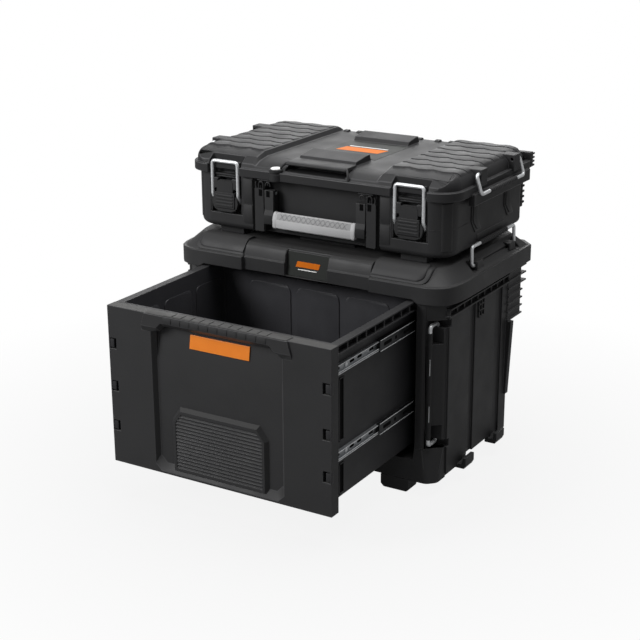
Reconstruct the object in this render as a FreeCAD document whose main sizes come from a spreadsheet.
import FreeCAD, Part
import math
import os
import re

import Sketcher

# Tool chest: a base unit with one deep drawer, and a latched case stacked on top of it.
# Millimetres, +Z up, the front towards -Y. The drawer stands open by drawer_open, everything else is
# closed, and the origin is on the floor under the middle of the whole part.

DIMS = {
    # Mouldings, fits and cuts
    "wall": 4.0,
    "rib": 3.0,
    "seat_gap": 0.3,
    "pin_fit": 0.05,
    "overrun": 10.0,
    "wire_radius": 2.6,
    "sleeve_radius": 4.3,
    "wire_bend": 6.0,
    # Drawer
    "drawer_width": 435.0,
    "drawer_height": 282.3,
    "drawer_base": 64.5,
    "drawer_open": 278.0,
    "drawer_reveal": 2.0,
    "top_reveal": 3.2,
    "sill_reveal": 4.0,
    "front_thick": 25.0,
    "panel_half": 122.5,
    "panel_cut": 12.0,
    "panel_depth": 8.7,
    "panel_draft": 6.0,
    "panel_low": 17.0,
    "panel_ramp": 13.0,
    "pull_half": 105.0,
    "pull_height": 21.5,
    "lip_proud": 3.0,
    "tab_drop": 9.5,
    "tab_slope": 10.0,
    "tab_reach": 41.0,
    "tab_lean": 7.0,
    "finger_depth": 20.9,
    "finger_drop": 60.0,
    "plate_drop": 31.0,
    "plate_width": 117.0,
    "plate_height": 23.5,
    "plate_thick": 2.0,
    "patch_half": 91.5,
    "patch_top_half": 76.5,
    "patch_low": 9.0,
    "patch_shoulder": 100.0,
    "patch_top": 120.5,
    "patch_rise": 5.0,
    "patch_frame": 6.0,
    "patch_rib": 2.8,
    "patch_rib_rise": 1.6,
    "notch_wide": 16.0,
    "notch_tall": 19.0,
    "notch_deep": 6.0,
    # Bin behind the drawer front
    "bin_inset": 12.5,
    "bin_lift": 15.0,
    "bin_wall": 3.5,
    "bin_front": 5.0,
    "rim_gap": 1.0,
    "rim_tail": 5.5,
    "rim_thick": 3.0,
    "rim_drop": 14.5,
    # Telescopic slides
    "slide_length": 300.0,
    "slide_space": 15.0,
    "slide_drop": 45.3,
    "slide_lift": 91.0,
    "slide_steel": 1.4,
    "slide_half": 8.0,
    "slide_play": 0.5,
    "slide_depth": 6.0,
    "slide_step": 2.4,
    "screw_radius": 1.75,
    "screw_head": 3.6,
    "screw_head_height": 1.6,
    "screw_length": 4.4,
    "screw_inset": 40.0,
    # Housing
    "base_floor": 25.0,
    "jamb": 43.5,
    "corner_x": 30.0,
    "corner_y": 26.0,
    "corner_round": 12.0,
    "back_x": 45.0,
    "back_y": 70.0,
    "panel_rise": 4.0,
    "panel_foot": 6.0,
    "band_reach": 9.0,
    "band_drop": 17.0,
    "band_step": 13.0,
    "fin_drop": 13.0,
    "fin_step": 15.0,
    "fin_depth": 50.0,
    "fin_extra": 14.0,
    "stay_head": 15.0,
    "stay_foot": 8.5,
    "stay_drop": 248.0,
    "stay_width": 12.0,
    "hook_length": 34.0,
    "side_arch": 13.0,
    "hook_reach": 20.0,
    "hook_lip": 7.0,
    "hook_height": 21.0,
    "hook_floor": 9.0,
    "plinth_reach": 12.0,
    "plinth_cut": 14.0,
    "foot_inner": 160.0,
    "foot_outer": 217.0,
    "foot_length": 30.0,
    "foot_cut": 6.0,
    # Lock bails at the front corners
    "lock_inset": 18.0,
    "lock_depth": 30.0,
    "lock_reach": 28.0,
    "lock_room": 8.0,
    "lock_foot": 90.0,
    "lock_drop": 44.0,
    "lock_floor": 6.0,
    "lock_head": 8.0,
    "lock_stub": 16.0,
    "lock_recess": 34.0,
    "lock_sleeve_inset": 11.0,
    # Top cover of the base
    "cover_overhang": 19.5,
    "cover_lip": 5.5,
    "cover_rear_lip": 11.0,
    "cover_height": 49.0,
    "skirt_drop": 6.0,
    "skirt_rise": 25.0,
    "skirt_wall": 5.0,
    "cover_ledge": 5.0,
    "cover_taper": 28.0,
    "cover_hollow": 30.0,
    "cover_corner_x": 46.0,
    "cover_corner_y": 74.0,
    "cover_back": 24.0,
    "fascia_half": 129.0,
    "fascia_set": 6.5,
    "fascia_ledge": 3.0,
    "fascia_lean": 14.5,
    "fascia_block": 50.0,
    "arch_slope": 9.0,
    "arch_inset": 6.5,
    "badge_half": 42.0,
    "badge_low": 2.0,
    "badge_height": 43.0,
    "badge_thick": 2.0,
    "badge_set": 15.0,
    "badge_lean": 7.0,
    "badge_room": 1.0,
    # Wire bails that hold the stack together
    "bail_shift": 11.0,
    "bail_half": 87.5,
    "bail_stub": 14.0,
    "bail_play": 8.0,
    "bail_clear": 8.0,
    "bail_drop": 13.0,
    "bail_rise": 34.0,
    "bail_inset": 1.0,
    "bail_sleeve_half": 55.0,
    "lug_long": 24.0,
    "lug_half": 7.0,
    "lug_notch": 9.0,
    # Case tub
    "case_inset": 24.5,
    "case_set_back": 39.5,
    "case_rear_set": 11.0,
    "case_foot": 13.0,
    "case_foot_half": 25.0,
    "case_foot_long": 24.0,
    "tub_height": 100.0,
    "tub_round": 40.0,
    "tub_back_round": 20.0,
    "tub_edge_round": 11.0,
    "tub_front_wall": 21.0,
    "tub_inner_round": 32.0,
    "ledge_reach": 1.5,
    "ledge_height": 11.0,
    "gasket_wide": 2.0,
    "gasket_deep": 2.5,
    "gasket_proud": 0.1,
    "gasket_front": 16.0,
    "gasket_round": 30.0,
    # Handle
    "bay_web": 24.5,
    "handle_bay_depth": 17.0,
    "post_gap": 2.0,
    "post_width": 22.0,
    "handle_pivot_set": 8.0,
    "handle_pivot_drop": 26.0,
    "handle_pin_radius": 3.0,
    "handle_arm_gap": 3.0,
    "handle_arm_width": 16.0,
    "handle_arm_half": 6.5,
    "handle_drop": 45.5,
    "handle_core_half": 8.5,
    "handle_core_proud": 5.0,
    "handle_core_thick": 6.0,
    "grip_height": 29.0,
    "grip_thick": 10.5,
    "grip_round": 3.5,
    "grip_end_gap": 0.5,
    # Draw latches
    "latch_inset": 72.0,
    "latch_bay_half": 34.5,
    "latch_bay_depth": 14.0,
    "wire_proud": 2.3,
    "wire_half": 27.2,
    "wire_top": 22.0,
    "wire_knee": 38.0,
    "lever_pin_set": 2.0,
    "lever_pin_drop": 18.0,
    "lever_pin_radius": 2.5,
    "wire_pin_set": 6.0,
    "wire_pin_drop": 54.0,
    "wire_pin_length": 12.0,
    "lever_half": 21.0,
    "lever_front": 7.0,
    "lever_back": 9.0,
    "lever_bottom": 70.0,
    "lever_shoulder": 34.0,
    "lever_wall": 3.0,
    "lever_cheek": 6.0,
    "lever_nose_cut": 8.0,
    "tongue_half": 14.0,
    "tongue_round": 6.0,
    "ear_half": 24.0,
    "ear_gap": 1.0,
    "ear_front": 6.5,
    "ear_rise": 9.5,
    "lever_ribs_rise": 1.2,
    # Lid
    "lid_overhang": 12.0,
    "lid_lip": 8.0,
    "lid_rear_lip": 10.0,
    "lid_skirt": 15.0,
    "lid_round": 45.0,
    "lid_ledge": 6.0,
    "dome_rise": 16.0,
    "dome_front": 42.0,
    "dome_round": 20.0,
    "lid_top_wall": 5.0,
    "lid_inner": 18.0,
    "lid_inner_front": 29.0,
    "lid_roof_front": 46.5,
    "lid_roof_drop": 2.0,
    "lid_bay_depth": 14.0,
    "catch_gap": 0.7,
    "catch_low": 8.0,
    "catch_high": 19.0,
    "catch_half": 23.0,
    "wing_reach": 5.0,
    "wing_thick": 12.0,
    "wing_drop": 17.5,
    "wing_front": 72.0,
    "wing_rear": 25.0,
    "pad_inner": 122.0,
    "pad_rise": 9.0,
    "pad_slope": 6.0,
    "pocket_half": 61.0,
    "pocket_deep": 37.5,
    "pocket_floor": 2.0,
    "pocket_roof": 2.6,
    "cleat_half": 57.0,
    "cleat_long": 62.0,
    "cleat_rise": 12.0,
    "cleat_front": 38.0,
    "cleat_rear": 28.0,
    "cleat_rear_long": 48.0,
    "label_half": 62.0,
    "label_thick": 1.6,
    "label_proud": 0.4,
    "valve_x": 77.0,
    "valve_set": 6.0,
    "valve_radius": 7.0,
    "valve_height": 4.0,
    "valve_cap_radius": 6.2,
    "valve_cap_height": 3.0,
    "valve_boss": 9.0,
    "bracket_reach": 5.5,
    "bracket_depth": 20.0,
    "bracket_rise": 26.0,
    "lid_bail_rise": 18.0,
    "lid_bail_out": 10.0,
    "lid_bail_drop": 32.0,
    # Lid hinge
    "knuckle_radius": 7.0,
    "knuckle_gap": 1.0,
    "hinge_inset": 128.0,
    "knuckle_wide": 15.0,
    "knuckle_side_gap": 0.5,
    "hinge_lift": 1.5,
    "hinge_pin_radius": 3.0,
    "hinge_arm": 10.0,
}

# Places along a piece, as shares of its length
SIDE_PANEL_SHARES = ((0.02, 0.34), (0.43, 0.76), (0.88, 1.0))
HOOK_SHARES = (0.2, 0.72)
NOTCH_SHARES = (0.24, 0.495, 0.765)
CLEAT_SHARES = ((0.0, 0.0), (0.13, 0.7), (0.75, 1.0), (0.9, 1.0), (1.0, 0.0))
COVER_CORNER_SHARES = ((1.0, 0.0), (0.69, 0.047), (0.42, 0.135), (0.22, 0.284), (0.096, 0.486),
                       (0.029, 0.73), (0.0, 1.0))
FASCIA_SHARES = ((0.0, 0.0), (0.2, 0.55), (0.5, 0.85), (1.0, 1.0))
DOME_SHARES = ((0.0, 0.0), (0.06, 0.3), (0.4, 0.72), (1.0, 1.0))
PATCH_RIBS = 17
BAND_WEBS = 10
RIM_WEBS = 11
FINS = 7
LONG_FINS = 3
LEVER_RIBS = 4
SIDES = (("left", -1), ("right", 1))

doc = FreeCAD.newDocument("tool_chest")
sheet = doc.addObject("Spreadsheet::Sheet", "dims")
for row, (alias, value) in enumerate(DIMS.items(), start=1):
    sheet.set(f"A{row}", alias)
    sheet.set(f"B{row}", str(value))
    sheet.setAlias(f"B{row}", alias)
doc.recompute()

CONFUSION = 1e-6
WORD = re.compile(r"[a-z_][a-z0-9_]*")
nodes = []


def formula(text):
    """The text with each driving dimension pointed at its cell."""
    return WORD.sub(lambda word: f"dims.{word[0]}" if word[0] in DIMS else word[0], str(text))


def read(alias):
    """The number in a driving dimension's cell."""
    return float(getattr(sheet, alias))


def bind(piece, **sizes):
    for name, text in sizes.items():
        piece.setExpression(name, formula(text))


def place(piece, base):
    for axis, text in zip("xyz", base):
        piece.setExpression(f"Placement.Base.{axis}", formula(text))


def node(piece):
    """Marks a finished piece, whose name is its file's name."""
    nodes.append(piece)
    return piece


def span(side, low, high):
    """A stretch of X on the right, or its mirror image on the left."""
    return (f"{low}", f"{high}") if side > 0 else (f"-({high})", f"-({low})")


def block(name, x, y, z):
    """A box between two places on each axis."""
    box = doc.addObject("Part::Box", name)
    for size, (low, high) in zip(("Length", "Width", "Height"), (x, y, z)):
        bind(box, **{size: f"({high}) - ({low})"})
    place(box, (x[0], y[0], z[0]))
    return box


TURNS = {
    "x": FreeCAD.Rotation(FreeCAD.Vector(0, 1, 0), 90),
    "y": FreeCAD.Rotation(FreeCAD.Vector(1, 0, 0), -90),
    "z": FreeCAD.Rotation(),
}


def rod(name, axis, radius, base, length):
    """A cylinder that starts at base and runs along an axis."""
    cylinder = doc.addObject("Part::Cylinder", name)
    cylinder.Placement = FreeCAD.Placement(FreeCAD.Vector(), TURNS[axis])
    bind(cylinder, Radius=radius, Height=length)
    place(cylinder, base)
    return cylinder


def join(name, *pieces):
    fused = doc.addObject("Part::MultiFuse", name)
    fused.Shapes = list(pieces)
    fused.Refine = True
    return fused


def meet(name, *pieces):
    common = doc.addObject("Part::MultiCommon", name)
    common.Shapes = list(pieces)
    common.Refine = True
    return common


def carve(name, base, *tools):
    cut = doc.addObject("Part::Cut", name)
    cut.Base = base
    cut.Tool = tools[0] if len(tools) == 1 else join(f"{name}_tools", *tools)
    cut.Refine = True
    return cut


PLANES = {"xy": "XY_Plane", "xz": "XZ_Plane", "yz": "YZ_Plane"}


def outline_sketch(body, name, plane, outline, level):
    """A closed outline of straight lines, with each corner bound to the sheet."""
    sketch = body.newObject("Sketcher::SketchObject", name)
    origin = next(item for item in body.Origin.OriginFeatures if item.Role == PLANES[plane])
    sketch.AttachmentSupport = [(origin, "")]
    sketch.MapMode = "FlatFace"
    # The XZ plane faces -Y, so its level is measured the other way
    bind(sketch, **{"AttachmentOffset.Base.z": f"-({level})" if plane == "xz" else level})
    count = len(outline)
    turn = 2 * math.pi / count
    start = [FreeCAD.Vector(math.cos(turn * i), math.sin(turn * i), 0) for i in range(count)]
    for i in range(count):
        sketch.addGeometry(Part.LineSegment(start[i], start[(i + 1) % count]))
    for i in range(count):
        sketch.addConstraint(Sketcher.Constraint("Coincident", i, 2, (i + 1) % count, 1))
    for i, corner in enumerate(outline):
        for kind, text, value in zip(("DistanceX", "DistanceY"), corner, start[i]):
            index = sketch.addConstraint(Sketcher.Constraint(kind, -1, 1, i, 1, value))
            bind(sketch, **{f"Constraints[{index}]": text})
    return sketch


def prism(name, plane, outline, low, high):
    """An outline padded square to its plane, from one level to another."""
    body = doc.addObject("PartDesign::Body", name)
    level = high if plane == "xz" else low
    sketch = outline_sketch(body, f"{name}_outline", plane, outline, level)
    pad = body.newObject("PartDesign::Pad", f"{name}_pad")
    pad.Profile = sketch
    bind(pad, Length=f"({high}) - ({low})")
    return body


def tapered(name, plane, sections):
    """Straight walls between outlines of alike corners at several levels."""
    body = doc.addObject("PartDesign::Body", name)
    sketches = [
        outline_sketch(body, f"{name}_section_{i}", plane, outline, level)
        for i, (outline, level) in enumerate(sections)
    ]
    loft = body.newObject("PartDesign::AdditiveLoft", f"{name}_loft")
    loft.Profile = sketches[0]
    loft.Sections = sketches[1:]
    loft.Ruled = True
    return body


def ease(body, kind, test, **sizes):
    """Rounds or bevels the edges of a body's last feature that pass a test."""
    doc.recompute()
    last = body.Tip
    names = [f"Edge{i}" for i, edge in enumerate(last.Shape.Edges, start=1) if test(edge)]
    feature = body.newObject(f"PartDesign::{kind}", f"{body.Name}_{kind.lower()}_{len(body.Group)}")
    feature.Base = (last, names)
    if "Size2" in sizes:
        feature.ChamferType = "Two distances"
    bind(feature, **sizes)
    return feature


def upright(edge):
    first, last = edge.Vertexes[0].Point, edge.Vertexes[-1].Point
    return math.hypot(first.x - last.x, first.y - last.y) < CONFUSION


def flat_at(level):
    """A test for the edges that lie all over at one height of a shape."""
    def test(edge):
        box = edge.BoundBox
        return abs(box.ZMin - level()) < read("pin_fit") and abs(box.ZMax - level()) < read("pin_fit")
    return test


def round_upright(body, in_front, radius):
    """Rounds a body's upright edges in front of its middle, or those behind it."""
    doc.recompute()
    middle = body.Shape.BoundBox.Center.y
    ease(body, "Fillet", lambda edge: upright(edge) and (edge.Vertexes[0].Y < middle) == in_front,
         Radius=radius)


def rounded_block(name, half, front, back, low, high, front_round, back_round):
    """An upright block, even on both sides, with rounded corners in plan."""
    outline = [(half, f"-({front})"), (half, back), (f"-({half})", back), (f"-({half})", f"-({front})")]
    body = prism(name, "xy", outline, low, high)
    round_upright(body, True, front_round)
    round_upright(body, False, back_round)
    return body


def bent_rod(name, points, radius, bend):
    """A round bar along straight runs, with every corner bent to one radius."""
    edges = []
    start = points[0]
    for before, corner, after in zip(points, points[1:], points[2:]):
        inward = (before - corner).normalize()
        outward = (after - corner).normalize()
        half_turn = (math.pi - inward.getAngle(outward)) / 2
        reach = bend * math.tan(half_turn)
        entry = corner + inward * reach
        leave = corner + outward * reach
        middle = (inward + outward).normalize()
        crown = corner + middle * (bend / math.cos(half_turn) - bend)
        edges.append(Part.LineSegment(start, entry).toShape())
        edges.append(Part.Arc(entry, crown, leave).toShape())
        start = leave
    edges.append(Part.LineSegment(start, points[-1]).toShape())
    path = Part.Wire(edges)
    ring = Part.Wire(Part.makeCircle(radius, points[0], points[1] - points[0]))
    bar = doc.addObject("Part::Feature", name)
    bar.Shape = path.makePipeShell([ring], True, False)
    return bar


# Places that several pieces share, worked out from the driving dimensions

HOUSING_DEPTH = "(front_thick + slide_length + slide_space + wall)"
HINGE_REACH = "(cover_rear_lip - case_rear_set + lid_rear_lip + knuckle_gap + knuckle_radius * 2)"
BASE_FRONT = f"(({HOUSING_DEPTH} + {HINGE_REACH} - drawer_open) / 2)"
OPENING = "(drawer_width / 2 + drawer_reveal)"
BASE_HALF = f"({OPENING} + jamb)"
BASE_REAR = f"({HOUSING_DEPTH} - {BASE_FRONT})"
BASE_TOP = "(drawer_base + drawer_height + top_reveal)"
SIDE_START = f"(corner_y - {BASE_FRONT})"
SIDE_END = f"({BASE_REAR} - back_y)"
SIDE_LENGTH = f"({SIDE_END} - {SIDE_START})"
PLINTH_FRONT = f"(-{BASE_FRONT} - plinth_reach)"
PLINTH_TOP = "(lock_foot - lock_head)"
LOCK_X = f"({BASE_HALF} - lock_inset)"
LOCK_Y = f"(lock_depth - {BASE_FRONT})"
LOCK_HIGH = f"({BASE_TOP} - lock_drop)"

DRAWER_FACE = f"(-{BASE_FRONT} - drawer_open)"
DRAWER_BACK = f"({DRAWER_FACE} + front_thick)"
FRONT_FACE = f"({DRAWER_FACE} + lip_proud)"
DRAWER_TOP = "(drawer_base + drawer_height)"
DRAWER_HALF = "(drawer_width / 2)"
BIN_HALF = f"({DRAWER_HALF} - bin_inset)"
RIM_HALF = f"({DRAWER_HALF} - rim_gap)"
LIP_LOW = f"({DRAWER_TOP} - pull_height)"
BIN_REAR = f"({DRAWER_BACK} + slide_length)"

COVER_HALF = f"({BASE_HALF} + cover_overhang)"
COVER_FRONT = f"({BASE_FRONT} + cover_lip)"
COVER_REAR = f"({BASE_REAR} + cover_rear_lip)"
COVER_TOP = f"({BASE_TOP} + cover_height)"
SKIRT_LOW = f"({BASE_TOP} - skirt_drop)"
SKIRT_TOP = f"({BASE_TOP} + skirt_rise)"

TUB_HALF = f"({COVER_HALF} - case_inset)"
TUB_FRONT = f"({COVER_FRONT} - case_set_back)"
TUB_REAR = f"({COVER_REAR} - case_rear_set)"
CASE_BASE = f"({COVER_TOP} + seat_gap)"
TUB_FLOOR = f"({CASE_BASE} + case_foot)"
PARTING = f"({TUB_FLOOR} + tub_height)"

STACK_X = f"({TUB_HALF} + bail_clear)"
STACK_Z = f"({COVER_TOP} - bail_drop)"
BAIL_CENTRE = f"(({TUB_REAR} - {TUB_FRONT}) / 2 + bail_shift)"
BAIL_FRONT = f"({BAIL_CENTRE} - bail_half)"
BAIL_REAR = f"({BAIL_CENTRE} + bail_half)"
BAIL_LUGS = (
    (f"{BAIL_FRONT} + bail_play", f"{BAIL_FRONT} + bail_play + lug_long"),
    (f"{BAIL_REAR} - bail_play - lug_long", f"{BAIL_REAR} - bail_play"),
)

LATCH_X = f"({TUB_HALF} - latch_inset)"
HANDLE_BAY_HALF = f"({LATCH_X} - latch_bay_half - bay_web)"
POST_OUTER = f"({HANDLE_BAY_HALF} - post_gap)"
POST_INNER = f"({POST_OUTER} - post_width)"
ARM_OUTER = f"({POST_INNER} - handle_arm_gap)"
ARM_INNER = f"({ARM_OUTER} - handle_arm_width)"
KNUCKLE_X = f"({TUB_HALF} - hinge_inset)"
WIRE_Y = f"(-{TUB_FRONT} - wire_proud)"
LEVER_PIN_Y = f"(lever_pin_set - {TUB_FRONT})"
LEVER_PIN_Z = f"({PARTING} - lever_pin_drop)"
WIRE_PIN_Y = f"(wire_pin_set - {TUB_FRONT})"
WIRE_PIN_Z = f"({PARTING} - wire_pin_drop)"
HANDLE_PIN_Y = f"(handle_pivot_set - {TUB_FRONT})"
HANDLE_PIN_Z = f"({PARTING} - handle_pivot_drop)"

LID_BASE = f"({PARTING} + seat_gap)"
LID_HALF = f"({TUB_HALF} + lid_overhang)"
LID_FRONT = f"({TUB_FRONT} + lid_lip)"
LID_REAR = f"({TUB_REAR} + lid_rear_lip)"
LID_SHOULDER = f"({LID_BASE} + lid_skirt)"
DOME_TOP = f"({LID_SHOULDER} + dome_rise)"
PAD_TOP = f"({DOME_TOP} + pad_rise)"
HINGE_Y = f"({LID_REAR} + knuckle_radius + knuckle_gap)"
HINGE_Z = f"({LID_BASE} + hinge_lift)"
LID_BAIL_X = LID_HALF
LID_BAIL_Z = f"({LID_SHOULDER} + lid_bail_rise)"

# The same places as numbers, for the bent wires and for finding edges


class At:
    housing_depth = read("front_thick") + read("slide_length") + read("slide_space") + read("wall")
    lid_reach = read("cover_rear_lip") - read("case_rear_set") + read("lid_rear_lip")
    hinge_reach = lid_reach + read("knuckle_gap") + read("knuckle_radius") * 2
    base_front = (housing_depth + hinge_reach - read("drawer_open")) / 2
    base_half = read("drawer_width") / 2 + read("drawer_reveal") + read("jamb")
    base_top = read("drawer_base") + read("drawer_height") + read("top_reveal")
    lock_x = base_half - read("lock_inset")
    lock_y = read("lock_depth") - base_front
    cover_top = base_top + read("cover_height")
    tub_half = base_half + read("cover_overhang") - read("case_inset")
    tub_front = base_front + read("cover_lip") - read("case_set_back")
    tub_floor = cover_top + read("seat_gap") + read("case_foot")
    parting = tub_floor + read("tub_height")
    stack_x = tub_half + read("bail_clear")
    stack_z = cover_top - read("bail_drop")
    latch_x = tub_half - read("latch_inset")
    lid_half = tub_half + read("lid_overhang")
    lid_shoulder = parting + read("seat_gap") + read("lid_skirt")
    pad_top = lid_shoulder + read("dome_rise") + read("pad_rise")
    tub_rear = housing_depth - base_front + read("cover_rear_lip") - read("case_rear_set")
    bail_centre = (tub_rear - tub_front) / 2 + read("bail_shift")
    bail_front = bail_centre - read("bail_half")
    bail_rear = bail_centre + read("bail_half")


def plan(half, front, rear, corner, back):
    """A plan outline with its four corners cut off, anticlockwise from the front right."""
    right = [
        (f"{half} - {corner[0]}", f"-{front}"),
        (half, f"{corner[1]} - {front}"),
        (half, f"{rear} - {back[1]}"),
        (f"{half} - {back[0]}", rear),
    ]
    return right + [(f"-({x})", y) for x, y in reversed(right)]


def cover_plan(inset):
    """The top cover's outline, drawn in all round by inset."""
    half, front, rear = f"({COVER_HALF} - {inset})", f"({COVER_FRONT} - {inset})", f"({COVER_REAR} - {inset})"
    right = [
        (f"{half} - cover_corner_x * {across}", f"cover_corner_y * {along} - {front}")
        for across, along in COVER_CORNER_SHARES
    ]
    right += [(half, f"{rear} - cover_back"), (f"{half} - cover_back", rear)]
    return right + [(f"-({x})", y) for x, y in reversed(right)]


def slide_rows():
    """The height of each row of slides, the upper one hung from the drawer's top."""
    return (("upper", f"({DRAWER_TOP} - slide_drop)"), ("lower", "(drawer_base + slide_lift)"))


def slide_screw_places():
    """Where the slides' screws stand: name, side, depth behind the slide's front end, height."""
    places = []
    for side_name, side in SIDES:
        for row_name, height in slide_rows():
            for end_name, along in (("front", "screw_inset"), ("rear", "slide_length - screw_inset")):
                places.append((f"{row_name}_{end_name}_{side_name}", side, along, height))
    return places


# Housing of the base


def fin_outline(side, depth, inset):
    """A rear fin from above: it fills the cut rear corner; inset draws its outer edges back."""
    inner = f"{BASE_HALF} - rib"
    outer = f"{BASE_HALF} + band_reach - {inset}"
    first, last = f"{SIDE_END} - rib * 4 + {inset}", f"({depth} - {inset})"
    outline = [(inner, first), (outer, first), (outer, f"{SIDE_END} + {last}"),
               (f"{inner} - back_x * {last} / back_y", f"{SIDE_END} + {last}"), (inner, SIDE_END)]
    return [(f"{side} * ({x})", y) for x, y in outline]


def housing_side(side_name, side):
    """The panels, rib bands, rear fins, stay and carrying hooks on one side of the housing."""
    inner = f"{BASE_HALF} - rib"
    pieces = []
    for i, (start, end) in enumerate(SIDE_PANEL_SHARES):
        pieces.append(block(
            f"side_panel_{side_name}_{i}",
            span(side, inner, f"{BASE_HALF} + panel_rise"),
            (f"{SIDE_START} + {SIDE_LENGTH} * {start}", f"{SIDE_START} + {SIDE_LENGTH} * {end}"),
            ("base_floor + panel_foot", f"{BASE_TOP} - band_drop - band_step - rib"),
        ))
    for i in range(2):
        level = f"({BASE_TOP} - band_drop - band_step * {i})"
        pieces.append(block(
            f"side_band_{side_name}_{i}",
            span(side, inner, f"{BASE_HALF} + band_reach"),
            (SIDE_START, SIDE_END),
            (f"{level} - rib / 2", f"{level} + rib / 2"),
        ))
    for i in range(BAND_WEBS):
        y = f"({SIDE_START} + rib + ({SIDE_LENGTH} - rib * 2) * {i} / {BAND_WEBS - 1})"
        pieces.append(block(
            f"side_web_{side_name}_{i}",
            span(side, inner, f"{BASE_HALF} + band_reach - rib"),
            (f"{y} - rib / 2", f"{y} + rib / 2"),
            (f"{BASE_TOP} - band_drop - band_step", f"{BASE_TOP} - band_drop"),
        ))
    fin_levels = [f"({BASE_TOP} - fin_drop - fin_step * {i})" for i in range(FINS)]
    for i, level in enumerate(fin_levels):
        depth = "(fin_depth + fin_extra)" if i < LONG_FINS else "fin_depth"
        pieces.append(prism(f"rear_fin_{side_name}_{i}", "xy", fin_outline(side, depth, "0"),
                            f"{level} - rib", level))
    pieces.append(prism(f"rear_fill_{side_name}", "xy", fin_outline(side, "fin_depth", "rib"),
                        f"{fin_levels[-1]} - rib", fin_levels[0]))
    stay = [
        (inner, f"{BASE_TOP} - stay_drop"),
        (f"{BASE_HALF} + stay_foot", f"{BASE_TOP} - stay_drop"),
        (f"{BASE_HALF} + stay_head", f"{fin_levels[-1]} - rib"),
        (inner, f"{fin_levels[-1]} - rib"),
    ]
    stay = [(f"{side} * ({x})", z) for x, z in stay]
    pieces.append(prism(f"rear_stay_{side_name}", "xz", stay, f"{SIDE_END} - stay_width", SIDE_END))
    for i, share in enumerate(HOOK_SHARES):
        start = f"({SIDE_START} + {SIDE_LENGTH} * {share})"
        outer = f"({BASE_HALF} + hook_reach)"
        outline = [
            (inner, "0"),
            (f"{outer} - hook_lip / 2", "0"),
            (outer, "hook_lip"),
            (outer, "hook_height"),
            (f"{outer} - hook_lip", "hook_height"),
            (f"{outer} - hook_lip", "hook_floor"),
            (inner, "hook_floor"),
        ]
        outline = [(f"{side} * ({x})", f"base_floor + {z}") for x, z in outline]
        pieces.append(prism(f"side_hook_{side_name}_{i}", "xz", outline, start, f"{start} + hook_length"))
    return pieces


def corner_plinth(side_name, side):
    """The foot of a front corner, which swells forward below the lock bail and fills the cut corner."""
    front = PLINTH_FRONT
    rear = f"({SIDE_START} + rib)"
    low = [(OPENING, front), (f"{BASE_HALF} - plinth_cut", front), (BASE_HALF, f"{front} + plinth_cut"),
           (BASE_HALF, rear), (OPENING, rear)]
    high = [(OPENING, f"-{BASE_FRONT}"), (f"{BASE_HALF} - corner_x", f"-{BASE_FRONT}"),
            (BASE_HALF, SIDE_START), (BASE_HALF, rear), (OPENING, rear)]
    return tapered(f"corner_plinth_{side_name}", "xy", [
        ([(f"{side} * ({x})", y) for x, y in low], "base_floor"),
        ([(f"{side} * ({x})", y) for x, y in high], PLINTH_TOP),
    ])


def front_sill():
    """The swelling under the drawer, between the two corner plinths."""
    top = "(drawer_base - sill_reveal)"
    share = f"(({PLINTH_TOP} - {top}) / ({PLINTH_TOP} - base_floor))"
    outline = [
        (PLINTH_FRONT, "base_floor"),
        (f"wall - {BASE_FRONT}", "base_floor"),
        (f"wall - {BASE_FRONT}", top),
        (f"-{BASE_FRONT} - plinth_reach * {share}", top),
    ]
    return prism("front_sill", "yz", outline, f"-{OPENING} - rib", f"{OPENING} + rib")


def lock_cuts(side_name, side):
    """The two pockets that take a lock bail's ends, the finger recesses beside them, and the stubs' bores."""
    x = span(side, f"{LOCK_X} - lock_room", f"{BASE_HALF} + overrun")
    y = (f"-{BASE_FRONT} - overrun", f"{LOCK_Y} + lock_room")
    bore = "wire_radius + pin_fit"
    centre = f"{side} * {LOCK_X}"
    high_z = (f"{LOCK_HIGH} - lock_floor", f"{LOCK_HIGH} + lock_head")
    low_z = ("lock_foot - lock_head", "lock_foot + lock_floor")
    high_end = f"{LOCK_HIGH} - lock_stub - seat_gap"
    shallow = (f"-{BASE_FRONT} - overrun", f"{LOCK_Y} - lock_floor")
    return [
        block(f"lock_pocket_high_{side_name}", x, y, high_z),
        block(f"lock_pocket_low_{side_name}", x, y, low_z),
        block(f"lock_recess_high_{side_name}", x, shallow, (f"{LOCK_HIGH} - lock_recess", LOCK_HIGH)),
        block(f"lock_recess_low_{side_name}", x, shallow, ("lock_foot", "lock_foot + lock_recess")),
        rod(f"lock_bore_high_{side_name}", "z", bore, (centre, LOCK_Y, high_end), "lock_stub"),
        rod(f"lock_bore_low_{side_name}", "z", bore, (centre, LOCK_Y, "lock_foot + seat_gap"), "lock_stub"),
    ]


def side_cavity(side_name, side):
    """The hollow inside one side of the housing, open underneath."""
    return block(
        f"side_cavity_{side_name}",
        span(side, f"{OPENING} + wall", f"{BASE_HALF} - wall"),
        (f"{LOCK_Y} + lock_room + wall", SIDE_END),
        ("base_floor - overrun", f"{BASE_TOP} - wall"),
    )


def side_arch(side_name, side):
    """The raised lower edge of the side between its two hooks."""
    starts = [f"({SIDE_START} + {SIDE_LENGTH} * {share})" for share in HOOK_SHARES]
    return block(
        f"side_arch_{side_name}", span(side, f"{OPENING} + wall * 2", f"{BASE_HALF} + overrun"),
        (f"{starts[0]} + hook_length", starts[1]), ("base_floor - overrun", "base_floor + side_arch"),
    )


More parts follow.
